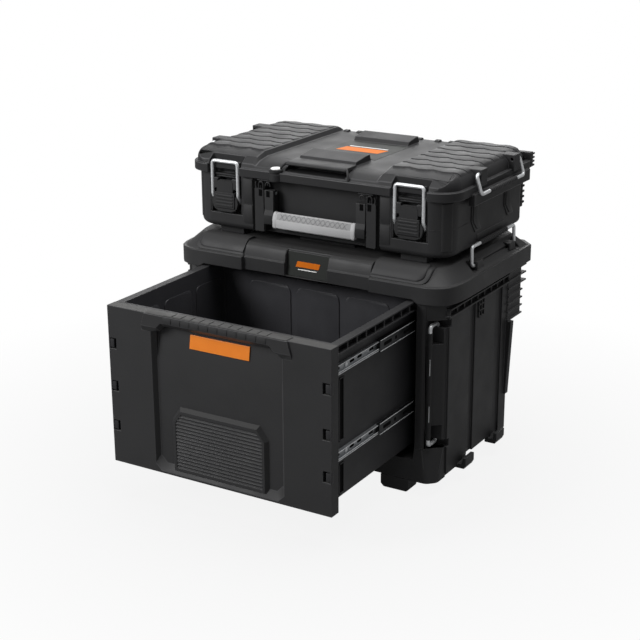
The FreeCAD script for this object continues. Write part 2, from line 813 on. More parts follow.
def make_housing():
    outline = plan(BASE_HALF, BASE_FRONT, BASE_REAR, ("corner_x", "corner_y"), ("back_x", "back_y"))
    core = prism("housing_core", "xy", outline, "base_floor", BASE_TOP)
    round_upright(core, True, "corner_round")
    pieces = [core, front_sill()]
    cuts = [
        block("drawer_chamber", (f"-{OPENING}", OPENING), (f"-{BASE_FRONT} - overrun", f"{BASE_REAR} - wall"),
              ("drawer_base - sill_reveal", f"{BASE_TOP} + overrun")),
        block("floor_cavity", (f"-{OPENING}", OPENING), (f"wall * 2 - {BASE_FRONT}", f"{BASE_REAR} - wall"),
              ("base_floor - overrun", "drawer_base - sill_reveal - wall")),
    ]
    for side_name, side in SIDES:
        pieces += housing_side(side_name, side)
        pieces.append(corner_plinth(side_name, side))
        cuts += lock_cuts(side_name, side)
        cuts += [side_cavity(side_name, side), side_arch(side_name, side)]
    for name, side, along, z in slide_screw_places():
        start = f"{side} * {OPENING} - screw_length / 2"
        y = f"front_thick - {BASE_FRONT} + {along}"
        cuts.append(rod(f"housing_bore_{name}", "x", "screw_radius + pin_fit", (start, y, z), "screw_length"))
    node(carve("housing_shell", join("housing_solid", *pieces), *cuts))


def make_feet():
    for side_name, side in SIDES:
        outline = [
            ("foot_inner + foot_cut", "0"),
            ("foot_outer - foot_cut", "0"),
            ("foot_outer", "foot_cut"),
            ("foot_outer", "base_floor"),
            ("foot_inner", "base_floor"),
            ("foot_inner", "foot_cut"),
        ]
        outline = [(f"{side} * ({x})", z) for x, z in outline]
        rear = f"{BASE_REAR} - wall - foot_length"
        node(prism(f"front_foot_{side_name}", "xz", outline, PLINTH_FRONT, f"{PLINTH_FRONT} + foot_length"))
        node(prism(f"rear_foot_{side_name}", "xz", outline, rear, f"{rear} + foot_length"))


# Top cover of the base


def badge_y(z):
    """The seat of the badge plate, which leans back as it rises."""
    return f"(badge_set - {COVER_FRONT} + ({z} - {BASE_TOP}) * badge_lean / cover_height)"


def fascia_outline():
    """The cover's front middle in profile: a band under a ledge, and a fascia that leans back above it."""
    band = f"(fascia_set - {COVER_FRONT})"
    foot = f"({band} + fascia_ledge)"
    rise = f"({COVER_TOP} - {SKIRT_TOP})"
    points = [(band, f"{SKIRT_LOW} - overrun"), (band, SKIRT_TOP)]
    points += [(f"{foot} + fascia_lean * {back}", f"{SKIRT_TOP} + {rise} * {up}")
               for back, up in FASCIA_SHARES]
    return points + [(f"{foot} + fascia_lean", f"{COVER_TOP} + overrun")]


def cleat(name, base, start, length):
    """A raised cross rail that the module above locks over; base is the level it stands on."""
    outline = [(f"{start} + {length} * {along}", f"{base} - rib + (cleat_rise + rib) * {up}")
               for along, up in CLEAT_SHARES]
    return prism(name, "yz", outline, "-cleat_half", "cleat_half")


def make_cover():
    skirt = prism("cover_skirt", "xy", cover_plan("0"), SKIRT_LOW, SKIRT_TOP)
    shoulders = tapered("cover_shoulders", "xy", [
        (cover_plan("cover_ledge"), f"{SKIRT_TOP} - rib"),
        (cover_plan("cover_ledge"), SKIRT_TOP),
        (cover_plan("cover_taper"), COVER_TOP),
    ])
    front_block = block(
        "cover_front_block", ("-fascia_half", "fascia_half"),
        (f"-{COVER_FRONT}", f"fascia_block - {COVER_FRONT}"), (BASE_TOP, COVER_TOP),
    )
    pieces = [skirt, shoulders, front_block]
    pieces.append(cleat("cover_cleat_front", COVER_TOP, f"(cleat_front - {TUB_FRONT})", "cleat_long"))
    pieces.append(cleat("cover_cleat_rear", COVER_TOP, f"({TUB_REAR} - cleat_rear - cleat_rear_long)",
                        "cleat_rear_long"))
    cuts = [
        prism("cover_skirt_room", "xy", cover_plan("skirt_wall"), f"{SKIRT_LOW} - overrun", BASE_TOP),
        tapered("cover_hollow_room", "xy", [
            (cover_plan("cover_hollow"), f"{BASE_TOP} - overrun"),
            (cover_plan("(cover_hollow + cover_taper / 2)"), f"{COVER_TOP} - wall - rib"),
        ]),
    ]
    above, below = f"({COVER_TOP} + overrun)", f"({SKIRT_LOW} - overrun)"
    ahead = f"(-{COVER_FRONT} - overrun)"
    cuts.append(prism("cover_fascia_cut", "yz", [(ahead, below), *fascia_outline(), (ahead, above)],
                      "-fascia_half", "fascia_half"))
    sill = f"({BASE_TOP} + badge_low - badge_room)"
    cuts.append(prism("cover_badge_cut", "yz", [
        (ahead, sill), (badge_y(sill), sill), (badge_y(above), above), (ahead, above),
    ], "-badge_half - badge_room", "badge_half + badge_room"))
    arch_wide, arch_narrow = f"({OPENING} - arch_inset + arch_slope)", f"({OPENING} - arch_inset)"
    cuts.append(prism("cover_arch_cut", "xz", [
        (f"-{arch_wide}", below), (arch_wide, below), (arch_wide, SKIRT_LOW),
        (arch_narrow, BASE_TOP), (f"-{arch_narrow}", BASE_TOP), (f"-{arch_wide}", SKIRT_LOW),
    ], ahead, f"fascia_block - {BASE_FRONT}"))
    for side_name, side in SIDES:
        for i, (start, end) in enumerate(BAIL_LUGS):
            pieces.append(block(
                f"cover_lug_{side_name}_{i}",
                span(side, f"{STACK_X} - lug_half * 2", f"{STACK_X} + lug_half"),
                (start, end), (f"{SKIRT_TOP} - rib", f"{STACK_Z} + lug_half"),
            ))
            leg = (BAIL_FRONT, BAIL_REAR)[i]
            cuts.append(block(
                f"cover_notch_{side_name}_{i}",
                span(side, f"{STACK_X} - lug_notch", f"{COVER_HALF} + overrun"),
                (f"{leg} - bail_play", f"{leg} + bail_play"),
                (f"{STACK_Z} - lug_notch", f"{COVER_TOP} + overrun"),
            ))
        cuts.append(rod(
            f"cover_bore_{side_name}", "y", "wire_radius + pin_fit",
            (f"{side} * {STACK_X}", BAIL_FRONT, STACK_Z), "bail_half * 2",
        ))
    node(carve("top_cover", join("cover_solid", *pieces), *cuts))
    low = f"({BASE_TOP} + badge_low)"
    high = f"({low} + badge_height)"
    node(prism("badge_plate", "yz", [
        (badge_y(low), low), (badge_y(high), high),
        (f"{badge_y(high)} - badge_thick", high), (f"{badge_y(low)} - badge_thick", low),
    ], "-badge_half", "badge_half"))


# Drawer


def both_halves(right):
    """An outline's right half, followed by its mirror image."""
    return right + [(f"-({x})", z) for x, z in reversed(right)]


def panel_outline(grow, drop):
    """The sunk middle of the drawer front, with its lower corners cut off."""
    half = f"(panel_half + {grow})"
    low = f"(drawer_base + panel_low - {drop})"
    return both_halves([(f"{half} - panel_cut", low), (half, f"{low} + panel_cut"), (half, LIP_LOW)])


def make_drawer_front():
    floor = f"({FRONT_FACE} + panel_depth)"
    back = f"({DRAWER_FACE} + finger_depth)"
    slab = block("drawer_slab", ("-drawer_width / 2", "drawer_width / 2"), (FRONT_FACE, DRAWER_BACK),
                 ("drawer_base", DRAWER_TOP))
    sunk = tapered("drawer_panel_cut", "xz", [
        (panel_outline("0", "0"), floor),
        (panel_outline("panel_draft", "panel_ramp"), FRONT_FACE),
    ])
    fingers = prism("drawer_finger_cut", "yz", [
        (floor, f"{LIP_LOW} - finger_drop"), (back, LIP_LOW), (floor, LIP_LOW),
    ], "-panel_half", "panel_half")
    cuts = [sunk, fingers]
    for side_name, side in SIDES:
        for i, share in enumerate(NOTCH_SHARES):
            z = f"(drawer_base + drawer_height * {share})"
            cuts.append(block(
                f"drawer_notch_{side_name}_{i}",
                span(side, f"{DRAWER_HALF} - notch_wide", f"{DRAWER_HALF} + overrun"),
                (f"{FRONT_FACE} - overrun", f"{FRONT_FACE} + notch_deep"),
                (f"{z} - notch_tall / 2", f"{z} + notch_tall / 2"),
            ))
    tab_low, tab_end = f"({LIP_LOW} - tab_drop)", "(pull_half + tab_reach)"
    lip = prism("drawer_lip", "xz", both_halves([
        ("pull_half", LIP_LOW), ("pull_half + tab_slope", tab_low), (tab_end, tab_low),
        (f"{tab_end} - tab_lean", DRAWER_TOP),
    ]), DRAWER_FACE, floor)
    low = "(drawer_base + patch_low)"
    shoulder = "(drawer_base + patch_shoulder)"
    top = "(drawer_base + patch_top)"
    face = f"({floor} - patch_rise)"
    patch = prism("drawer_patch", "xz", both_halves([
        ("patch_half", low), ("patch_half", shoulder), ("patch_top_half", top),
    ]), face, f"{floor} + rib")
    pieces = [carve("drawer_front_cut", slab, *cuts), lip, patch]
    for i in range(PATCH_RIBS):
        z = f"({low} + patch_frame + ({top} - {low} - patch_frame * 2) * {i} / {PATCH_RIBS - 1})"
        narrowing = f"(patch_half - patch_top_half) * max(0; ({z} - {shoulder}) / ({top} - {shoulder}))"
        half = f"(patch_half - patch_frame - {narrowing})"
        pieces.append(block(
            f"drawer_patch_rib_{i}", (f"-{half}", half), (f"{face} - patch_rib_rise", floor),
            (f"{z} - patch_rib / 2", f"{z} + patch_rib / 2"),
        ))
    node(join("drawer_front", *pieces))
    # The plate lies on the recess's sloped back
    lean = f"(({back} - {floor}) / finger_drop)"
    plate = []
    for z, thick in (("0", "0"), ("plate_height", "0"), ("plate_height", "plate_thick"),
                     ("0", "plate_thick")):
        plate.append((f"{floor} + {lean} * (finger_drop - plate_drop + {z}) - {thick}",
                      f"{LIP_LOW} - plate_drop + {z}"))
    node(prism("colour_plate", "yz", plate, "-plate_width / 2", "plate_width / 2"))


def make_bin():
    top, low = DRAWER_TOP, "(drawer_base + bin_lift)"
    rim_x, rim_y = (f"-{RIM_HALF}", RIM_HALF), (DRAWER_BACK, f"{BIN_REAR} + rim_tail")
    pieces = [
        block("bin_body", (f"-{BIN_HALF}", BIN_HALF), (DRAWER_BACK, BIN_REAR), (low, top)),
        block("bin_rim", rim_x, rim_y, (f"{top} - rim_thick", top)),
        block("bin_ridge", rim_x, rim_y, (f"{top} - rim_drop - rim_thick", f"{top} - rim_drop")),
    ]
    for side_name, side in SIDES:
        for i in range(RIM_WEBS):
            y = f"({DRAWER_BACK} + rib + (slide_length - rib * 2) * {i} / {RIM_WEBS - 1})"
            pieces.append(block(
                f"bin_web_{side_name}_{i}",
                span(side, f"{BIN_HALF} - bin_wall / 2", f"{RIM_HALF} - rim_thick / 2"),
                (f"{y} - rib / 2", f"{y} + rib / 2"), (f"{top} - rim_drop - rim_thick / 2", top),
            ))
    cuts = [block(
        "bin_inside", (f"bin_wall - {BIN_HALF}", f"{BIN_HALF} - bin_wall"),
        (f"{DRAWER_BACK} + bin_front", f"{BIN_REAR} - bin_wall"), (f"{low} + wall", f"{top} + overrun"),
    )]
    for name, side, along, z in slide_screw_places():
        start = f"{side} * {BIN_HALF} - screw_length / 2"
        cuts.append(rod(f"bin_bore_{name}", "x", "screw_radius + pin_fit",
                        (start, f"{DRAWER_BACK} + {along}", z), "screw_length"))
    node(carve("drawer_bin", join("bin_solid", *pieces), *cuts))


# Telescopic slides


def channel(name, side, x, web_outside, y, z, half, bores=()):
    """A steel channel lying along Y, with its web on the outer or the inner side."""
    low, high = x
    solid = block(f"{name}_bar", span(side, low, high), y, (f"{z} - {half}", f"{z} + {half}"))
    hollow = (f"{low} - overrun", f"{high} - slide_steel") if web_outside else \
        (f"{low} + slide_steel", f"{high} + overrun")
    room = block(f"{name}_room", span(side, *hollow), (f"{y[0]} - overrun", f"{y[1]} + overrun"),
                 (f"{z} - {half} + slide_steel", f"{z} + {half} - slide_steel"))
    return node(carve(name, solid, room, *bores))


def make_slides():
    open_half = "drawer_open / 2"
    for side_name, side in SIDES:
        for row_name, z in slide_rows():
            tail = f"{row_name}_{side_name}"
            drawer_y = (DRAWER_BACK, f"{DRAWER_BACK} + slide_length")
            middle_y = tuple(f"({y}) + {open_half}" for y in drawer_y)
            cabinet_y = tuple(f"({y}) + drawer_open" for y in drawer_y)
            middle_half = "(slide_half + slide_play + slide_steel)"
            cabinet_half = f"({middle_half} + slide_play + slide_steel)"
            bores = {"drawer": [], "cabinet": []}
            for name, screw_side, along, screw_z in slide_screw_places():
                if name.startswith(row_name) and screw_side == side:
                    for member, seat, start in (("drawer", BIN_HALF, drawer_y[0]),
                                                ("cabinet", OPENING, cabinet_y[0])):
                        bores[member].append(rod(
                            f"slide_bore_{member}_{name}", "x", "screw_radius + pin_fit",
                            (f"{side} * {seat} - screw_length", f"{start} + {along}", screw_z),
                            "screw_length * 2",
                        ))
            channel(f"slide_drawer_{tail}", side, (BIN_HALF, f"{BIN_HALF} + slide_depth"), False,
                    drawer_y, z, "slide_half", bores["drawer"])
            middle_x = (f"{BIN_HALF} + slide_step", f"{BIN_HALF} + slide_step + slide_depth")
            channel(f"slide_middle_{tail}", side, middle_x, True, middle_y, z, middle_half)
            channel(f"slide_cabinet_{tail}", side, (f"{BIN_HALF} + slide_step * 2", OPENING), True,
                    cabinet_y, z, cabinet_half, bores["cabinet"])


def make_slide_screws():
    for member, seat, start, inward in (
        ("drawer", f"({BIN_HALF} + slide_steel)", DRAWER_BACK, False),
        ("cabinet", f"({OPENING} - slide_steel)", f"({DRAWER_BACK} + drawer_open)", True),
    ):
        screws = []
        for name, side, along, z in slide_screw_places():
            y = f"{start} + {along}"
            head = (f"{seat} - screw_head_height", seat) if inward else (seat, f"{seat} + screw_head_height")
            shank = (seat, f"{seat} + screw_length / 2") if inward else (f"{seat} - screw_length / 2", seat)
            parts = []
            for part, radius, stretch in (("head", "screw_head", head), ("shank", "screw_radius", shank)):
                low, high = span(side, *stretch)
                parts.append(rod(f"{member}_screw_{part}_{name}", "x", radius, (low, y, z),
                                 f"({high}) - ({low})"))
            screws.append(join(f"{member}_screw_{name}", *parts))
        node(join(f"slide_screws_{member}", *screws))


# Wire bails and their plastic sleeves


def vector(x, y, z):
    return FreeCAD.Vector(x, y, z)


def make_lock_bail(side_name, side):
    x, y = side * At.lock_x, At.lock_y
    high, low = At.base_top - read("lock_drop"), read("lock_foot")
    stub, bar_y = read("lock_stub"), y - read("lock_reach")
    points = [
        vector(x, y, high - stub), vector(x, y, high), vector(x, bar_y, high),
        vector(x, bar_y, low), vector(x, y, low), vector(x, y, low + stub),
    ]
    node(bent_rod(f"lock_bail_{side_name}", points, read("wire_radius"), read("wire_bend")))
    base = (f"{side} * {LOCK_X}", f"{LOCK_Y} - lock_reach", "lock_foot + lock_sleeve_inset")
    length = f"{LOCK_HIGH} - lock_foot - lock_sleeve_inset * 2"
    node(sleeve(f"lock_sleeve_{side_name}", "z", base, length))


def sleeve(name, axis, base, length):
    """A plastic tube on a wire."""
    tube = rod(f"{name}_tube", axis, "sleeve_radius", base, length)
    bore = rod(f"{name}_bore", axis, "wire_radius + pin_fit", base, length)
    return carve(name, tube, bore)


def make_bail(name, side_name, side, pivot, bar):
    """A bail whose ends turn in towards each other; pivot and bar are X and Z, as numbers and as text."""
    (px, pz), (bx, bz) = pivot, bar[0]
    front, rear, stub = At.bail_front, At.bail_rear, read("bail_stub")
    points = [
        vector(side * px, front + stub, pz), vector(side * px, front, pz), vector(side * bx, front, bz),
        vector(side * bx, rear, bz), vector(side * px, rear, pz), vector(side * px, rear - stub, pz),
    ]
    node(bent_rod(f"{name}_bail_{side_name}", points, read("wire_radius"), read("wire_bend")))
    text_x, text_z = bar[1]
    base = (f"{side} * ({text_x})", f"{BAIL_CENTRE} - bail_sleeve_half", text_z)
    node(sleeve(f"{name}_sleeve_{side_name}", "y", base, "bail_sleeve_half * 2"))


def make_bails():
    lid_x, lid_z = At.lid_half, At.lid_shoulder + read("lid_bail_rise")
    for side_name, side in SIDES:
        make_lock_bail(side_name, side)
        stack_bar = (At.stack_x - read("bail_inset"), At.stack_z + read("bail_rise"))
        stack_text = (f"{STACK_X} - bail_inset", f"{STACK_Z} + bail_rise")
        make_bail("stack", side_name, side, (At.stack_x, At.stack_z), (stack_bar, stack_text))
        lid_bar = (lid_x + read("lid_bail_out"), lid_z - read("lid_bail_drop"))
        lid_text = (f"{LID_BAIL_X} + lid_bail_out", f"{LID_BAIL_Z} - lid_bail_drop")
        make_bail("lid", side_name, side, (lid_x, lid_z), (lid_bar, lid_text))


# Case


def knuckle(name, side, start, wide, arm_y, arm_z):
    """A hinge barrel on its arm, before the pin's bore is cut."""
    low, high = span(side, start, f"{start} + {wide}")
    barrel = rod(f"{name}_barrel", "x", "knuckle_radius", (low, HINGE_Y, HINGE_Z), f"({high}) - ({low})")
    return [barrel, block(f"{name}_arm", (low, high), arm_y, arm_z)]


def hinge_bore(name, side):
    low, high = span(side, f"{KNUCKLE_X} - overrun", f"{KNUCKLE_X} + knuckle_wide * 4 + overrun")
    return rod(name, "x", "hinge_pin_radius + pin_fit", (low, HINGE_Y, HINGE_Z), f"({high}) - ({low})")


def make_tub():
    outer = rounded_block("tub_outer", TUB_HALF, TUB_FRONT, TUB_REAR, TUB_FLOOR, PARTING,
                          "tub_round", "tub_back_round")
    ease(outer, "Fillet", flat_at(lambda: At.tub_floor), Radius="tub_edge_round")
    inside = rounded_block("tub_inside", f"({TUB_HALF} - wall)", f"({TUB_FRONT} - tub_front_wall)",
                           f"({TUB_REAR} - wall)", f"({TUB_FLOOR} + wall)", f"({PARTING} + overrun)",
                           "tub_inner_round", "tub_back_round - wall")
    bay_z = (f"{TUB_FLOOR} - overrun", f"{PARTING} + overrun")
    ahead = f"-{TUB_FRONT} - overrun"
    back = f"(handle_bay_depth - {TUB_FRONT})"
    bays = [block("handle_bay", (f"-{HANDLE_BAY_HALF}", HANDLE_BAY_HALF), (ahead, back), bay_z)]
    pieces, bores = [], [gasket_ring("gasket_groove", f"({PARTING} + overrun)")]
    for side_name, side in SIDES:
        bays.append(block(
            f"latch_bay_{side_name}",
            span(side, f"{LATCH_X} - latch_bay_half", f"{LATCH_X} + latch_bay_half"),
            (ahead, f"latch_bay_depth - {TUB_FRONT}"), (f"{PARTING} - lever_bottom - rib", bay_z[1]),
        ))
        make_tub_fittings(side_name, side)
        pieces.append(block(
            f"tub_ledge_{side_name}", span(side, f"{TUB_HALF} - rib", f"{TUB_HALF} + ledge_reach"),
            (f"{BAIL_CENTRE} - bail_sleeve_half", f"{BAIL_CENTRE} + bail_sleeve_half"),
            (f"{TUB_FLOOR} + tub_edge_round", f"{TUB_FLOOR} + tub_edge_round + ledge_height"),
        ))
        for i in range(2):
            start = f"({KNUCKLE_X} + knuckle_wide * 3 * {i})"
            pieces += knuckle(
                f"tub_knuckle_{side_name}_{i}", side, start, "knuckle_wide",
                (f"{TUB_REAR} - rib", HINGE_Y), (f"{HINGE_Z} - hinge_arm", f"{PARTING} - seat_gap"),
            )
        bores.append(hinge_bore(f"tub_hinge_bore_{side_name}", side))
    body = carve("tub_bays", outer, inside, *bays)
    node(carve("case_tub", join("tub_solid", body, *pieces), *bores))


def make_tub_fittings(side_name, side):
    """The post that holds one end of the handle, and the two ears that hold one latch's pin."""
    post = block(f"post_block_{side_name}", span(side, POST_INNER, POST_OUTER),
                 (f"-{TUB_FRONT}", f"handle_bay_depth - {TUB_FRONT}"),
                 (f"{TUB_FLOOR} + rib", f"{PARTING} - rib"))
    low, high = span(side, ARM_INNER, f"{POST_OUTER} + overrun")
    post_bore = rod(f"post_bore_{side_name}", "x", "handle_pin_radius + pin_fit",
                    (low, HANDLE_PIN_Y, HANDLE_PIN_Z), f"({high}) - ({low})")
    node(carve(f"handle_post_{side_name}", post, post_bore))
    ears = []
    for i, way in enumerate((-1, 1)):
        ear = span(way, "tongue_half + ear_gap", "ear_half")
        ears.append(block(
            f"latch_ear_{side_name}_{i}", span(side, f"{LATCH_X} + {ear[0]}", f"{LATCH_X} + {ear[1]}"),
            (f"{LEVER_PIN_Y} - ear_front", f"latch_bay_depth - {TUB_FRONT}"),
            (f"{LEVER_PIN_Z} - ear_rise", f"{LEVER_PIN_Z} + ear_rise"),
        ))
    node(carve(f"latch_ears_{side_name}", join(f"ear_pair_{side_name}", *ears),
               latch_bore(f"ear_bore_{side_name}", side)))


def make_case_feet():
    """Four tabs under the tub, in line with the latches, that stand on the cover."""
    feet = []
    for side_name, side in SIDES:
        x = span(side, f"{LATCH_X} - case_foot_half", f"{LATCH_X} + case_foot_half")
        front = f"(handle_bay_depth - {TUB_FRONT})"
        rear = f"({TUB_REAR} - tub_back_round - case_foot_long)"
        for end_name, start in (("front", front), ("rear", rear)):
            feet.append(block(f"case_foot_{end_name}_{side_name}", x, (start, f"{start} + case_foot_long"),
                              (CASE_BASE, TUB_FLOOR)))
    node(join("case_feet", *feet))


def latch_bore(name, side):
    low, high = span(side, f"{LATCH_X} - ear_half - overrun", f"{LATCH_X} + ear_half + overrun")
    return rod(name, "x", "lever_pin_radius + pin_fit", (low, LEVER_PIN_Y, LEVER_PIN_Z),
               f"({high}) - ({low})")


def gasket_ring(name, top):
    """The ring that the seal fills in the tub's rim, up to a level."""
    low = f"({PARTING} - gasket_deep)"
    rings = []
    for part, inset, base in (("out", "(wall / 4)", low),
                              ("in", "(wall / 4 + gasket_wide)", f"({low} - overrun)")):
        rings.append(rounded_block(
            f"{name}_{part}", f"({TUB_HALF} - {inset})", f"({TUB_FRONT} - gasket_front - {inset})",
            f"({TUB_REAR} - {inset})", base, top if part == "out" else f"({top} + overrun)",
            f"gasket_round - {inset}", f"tub_back_round - {inset}",
        ))
    return carve(name, *rings)


def make_gasket():
    node(gasket_ring("case_gasket", f"({PARTING} + gasket_proud)"))


def make_handle():
    pin = ("handle_pin_radius + pin_fit", HANDLE_PIN_Y, HANDLE_PIN_Z)
    core_y = f"(-{TUB_FRONT} - handle_core_proud)"
    core_z = f"({HANDLE_PIN_Z} - handle_drop)"
    core_span = (f"{core_z} - handle_core_half", f"{core_z} + handle_core_half")
    pieces = [block("handle_core", (f"-{ARM_OUTER}", ARM_OUTER),
                    (core_y, f"{core_y} + handle_core_thick"), core_span)]
    bores = []
    for side_name, side in SIDES:
        x = span(side, ARM_INNER, ARM_OUTER)
        arm_y = (f"{pin[1]} - handle_arm_half", f"{pin[1]} + handle_arm_half")
        pieces.append(block(f"handle_arm_{side_name}", x, arm_y, (core_span[0], pin[2])))
        pieces.append(block(f"handle_elbow_{side_name}", x, (core_y, arm_y[1]), core_span))
        pieces.append(rod(f"handle_eye_{side_name}", "x", "handle_arm_half", (x[0], pin[1], pin[2]),
                          f"({x[1]}) - ({x[0]})"))
        bores.append(rod(f"handle_eye_bore_{side_name}", "x", pin[0], (f"{x[0]} - overrun", pin[1], pin[2]),
                         f"({x[1]}) - ({x[0]}) + overrun * 2"))
        low, high = span(side, ARM_INNER, POST_OUTER)
        node(rod(f"handle_pin_{side_name}", "x", "handle_pin_radius", (low, pin[1], pin[2]),
                 f"({high}) - ({low})"))
    node(carve("case_handle", join("handle_solid", *pieces), *bores))
    half = f"({ARM_INNER} - grip_end_gap)"
    back = f"({core_y} + handle_core_thick / 2 + grip_thick / 2)"
    grip = prism("grip_outer", "xz", [
        (half, f"{core_z} - grip_height / 2"), (half, f"{core_z} + grip_height / 2"),
        (f"-{half}", f"{core_z} + grip_height / 2"), (f"-{half}", f"{core_z} - grip_height / 2"),
    ], f"{back} - grip_thick", back)
    ease(grip, "Fillet", along_x, Radius="grip_round")
    core = block("grip_core", (f"-{half} - overrun", f"{half} + overrun"),
                 (f"{core_y} - pin_fit", f"{core_y} + handle_core_thick + pin_fit"),
                 (f"{core_span[0]} - pin_fit", f"{core_span[1]} + pin_fit"))
    node(carve("handle_grip", grip, core))


def along_x(edge):
    first, last = edge.Vertexes[0].Point, edge.Vertexes[-1].Point
    return math.hypot(first.y - last.y, first.z - last.z) < CONFUSION


def make_latch(side_name, side):
    """A draw latch: its lever, the wire loop that it pulls down and the pin that it turns on."""
    front, back = f"(-{TUB_FRONT} - lever_front)", f"(lever_back - {TUB_FRONT})"
    low, high = f"({PARTING} - lever_bottom)", f"({PARTING} - lever_shoulder)"
    x = span(side, f"{LATCH_X} - lever_half", f"{LATCH_X} + lever_half")
    body = prism(f"lever_body_{side_name}", "yz", [
        (f"{front} + lever_nose_cut", low), (back, low), (back, high), (front, high),
        (front, f"{low} + lever_nose_cut"),
    ], *x)
    hollow = block(
        f"lever_hollow_{side_name}",
        span(side, f"{LATCH_X} - lever_half + lever_cheek", f"{LATCH_X} + lever_half - lever_cheek"),
        (f"{front} + lever_nose_cut", f"{back} + overrun"), (f"{low} + lever_wall", f"{high} - lever_wall"),
    )
    tongue_x = span(side, f"{LATCH_X} - tongue_half", f"{LATCH_X} + tongue_half")
    tongue = block(f"lever_tongue_{side_name}", tongue_x,
                   (f"{LEVER_PIN_Y} - tongue_round", f"{LEVER_PIN_Y} + tongue_round"),
                   (f"{high} - lever_wall", LEVER_PIN_Z))
    eye = rod(f"lever_eye_{side_name}", "x", "tongue_round", (tongue_x[0], LEVER_PIN_Y, LEVER_PIN_Z),
              f"({tongue_x[1]}) - ({tongue_x[0]})")
    pieces = [carve(f"lever_shell_{side_name}", body, hollow), tongue, eye]
    for i in range(LEVER_RIBS):
        z = f"({low} + lever_nose_cut + rib + rib * 2 * {i})"
        pieces.append(block(
            f"lever_rib_{side_name}_{i}",
            span(side, f"{LATCH_X} - lever_half + rib", f"{LATCH_X} + lever_half - rib"),
            (f"{front} - lever_ribs_rise", f"{front} + rib"), (z, f"{z} + rib"),
        ))
    wire_low, wire_high = span(side, f"{LATCH_X} - lever_half - overrun", f"{LATCH_X} + lever_half + overrun")
    wire_bore = rod(f"lever_wire_bore_{side_name}", "x", "wire_radius + pin_fit",
                    (wire_low, WIRE_PIN_Y, WIRE_PIN_Z), f"({wire_high}) - ({wire_low})")
    node(carve(f"latch_lever_{side_name}", join(f"lever_solid_{side_name}", *pieces),
               latch_bore(f"lever_pin_bore_{side_name}", side), wire_bore))
    pin_low, pin_high = span(side, f"{LATCH_X} - ear_half", f"{LATCH_X} + ear_half")
    node(rod(f"latch_pin_{side_name}", "x", "lever_pin_radius", (pin_low, LEVER_PIN_Y, LEVER_PIN_Z),
             f"({pin_high}) - ({pin_low})"))
    make_latch_wire(side_name, side * At.latch_x)


def make_latch_wire(side_name, centre):
    y, pin_y = -At.tub_front - read("wire_proud"), read("wire_pin_set") - At.tub_front
    top, knee = At.parting + read("wire_top"), At.parting - read("wire_knee")
    pin_z = At.parting - read("wire_pin_drop")
    half, tip = read("wire_half"), read("wire_half") - read("wire_pin_length")
    points = [
        vector(centre - tip, pin_y, pin_z), vector(centre - half, pin_y, pin_z),
        vector(centre - half, y, knee), vector(centre - half, y, top),
        vector(centre + half, y, top), vector(centre + half, y, knee),
        vector(centre + half, pin_y, pin_z), vector(centre + tip, pin_y, pin_z),
    ]
    node(bent_rod(f"latch_wire_{side_name}", points, read("wire_radius"), read("wire_bend")))


def make_hinge_pins():
    for side_name, side in SIDES:
        low, high = span(side, KNUCKLE_X, f"{KNUCKLE_X} + knuckle_wide * 4")
        node(rod(f"hinge_pin_{side_name}", "x", "hinge_pin_radius", (low, HINGE_Y, HINGE_Z),
                 f"({high}) - ({low})"))


def lid_side(side_name, side):
    """The wing, bail brackets, catch and hinge knuckle on one side of the lid."""
    pieces = [block(
        f"lid_wing_{side_name}",
        span(side, f"{LID_HALF} + wing_reach - wing_thick", f"{LID_HALF} + wing_reach"),
        (f"wing_front - {LID_FRONT}", f"{LID_REAR} - wing_rear"),
        (f"{LID_BASE} - wing_drop", f"{LID_BASE} + rib"),
    )]
    for i, (start, end) in enumerate(BAIL_LUGS):
        pieces.append(block(
            f"lid_bracket_{side_name}_{i}",
            span(side, f"{LID_HALF} - bracket_depth", f"{LID_HALF} + bracket_reach"), (start, end),
            (f"{LID_SHOULDER} - rib", f"{LID_SHOULDER} + bracket_rise"),
        ))
    pieces.append(block(
        f"lid_catch_{side_name}", span(side, f"{LATCH_X} - catch_half", f"{LATCH_X} + catch_half"),
        (f"{WIRE_Y} + wire_radius + catch_gap", f"lid_bay_depth - {TUB_FRONT} + rib"),
        (f"{LID_BASE} + catch_low", f"{LID_BASE} + catch_high"),
    ))
    pieces += knuckle(
        f"lid_knuckle_{side_name}", side, f"{KNUCKLE_X} + knuckle_wide + knuckle_side_gap",
        "knuckle_wide * 2 - knuckle_side_gap * 2", (f"{LID_REAR} - rib", HINGE_Y),
        (HINGE_Z, f"{HINGE_Z} + knuckle_radius"),
    )
    return pieces


def lid_side_cuts(side_name, side):
    return [
        block(f"lid_bay_{side_name}",
              span(side, f"{LATCH_X} - latch_bay_half", f"{LATCH_X} + latch_bay_half"),
              (f"-{LID_FRONT} - overrun", f"lid_bay_depth - {TUB_FRONT}"),
              (f"{LID_BASE} - overrun", f"{PAD_TOP} + overrun")),
    ]


def lid_side_bores(side_name, side):
    return [
        hinge_bore(f"lid_hinge_bore_{side_name}", side),
        rod(f"lid_bail_bore_{side_name}", "y", "wire_radius + pin_fit",
            (f"{side} * {LID_BAIL_X}", BAIL_FRONT, LID_BAIL_Z), "bail_half * 2"),
    ]


def dome_outline(top):
    """The lid's top in profile: up the front slope, level to the rear, and back underneath."""
    low, foot = f"({LID_SHOULDER} - rib)", f"(lid_ledge - {LID_FRONT})"
    slope = [(f"{foot} + dome_front * {along}", f"{LID_SHOULDER} + ({top} - {LID_SHOULDER}) * {up}")
             for along, up in DOME_SHARES]
    return [(foot, low), *slope, (LID_REAR, top), (LID_REAR, low)]


